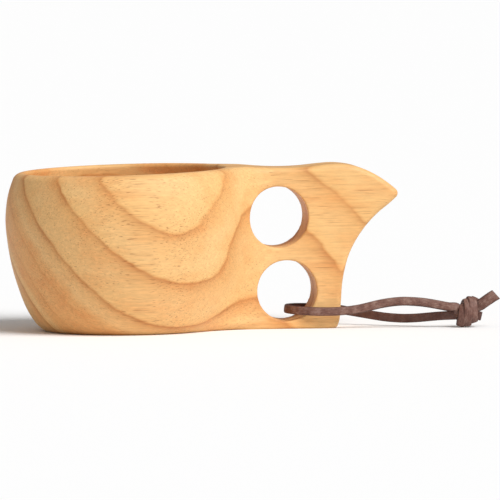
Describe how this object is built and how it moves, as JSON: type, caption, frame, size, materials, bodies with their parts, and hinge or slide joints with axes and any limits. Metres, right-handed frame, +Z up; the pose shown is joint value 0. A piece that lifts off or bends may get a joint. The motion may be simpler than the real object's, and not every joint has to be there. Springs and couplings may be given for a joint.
{
  "type": "wooden cup",
  "caption": "Carved wooden drinking cup with a rounded bowl, a flat two-finger handle and a leather thong knotted through the handle's lower hole.",
  "frame": {"origin": "centre of the bowl's flat foot, on the surface that the cup stands on", "axes": "+Z up out of the bowl; +X from the bowl along the handle; the XZ plane halves the cup"},
  "size_m": [0.209, 0.102, 0.0696],
  "materials": {
    "wood": "oiled, satin",
    "thong_leather": "matt"
  },
  "bodies": {
    "body": {"cup": "wood"},
    "thong": {"thong_loop": "thong_leather", "thong_knot": "thong_leather", "thong_tail_long": "thong_leather", "thong_tail_short": "thong_leather"}
  },
  "joints": [
    {"name": "thong_swing", "type": "hinge", "parent": "body", "child": "thong", "pos_m": [0.081, 0, 0], "axis": [0, 0, 1], "range_deg": [-75, 75]}
  ]
}
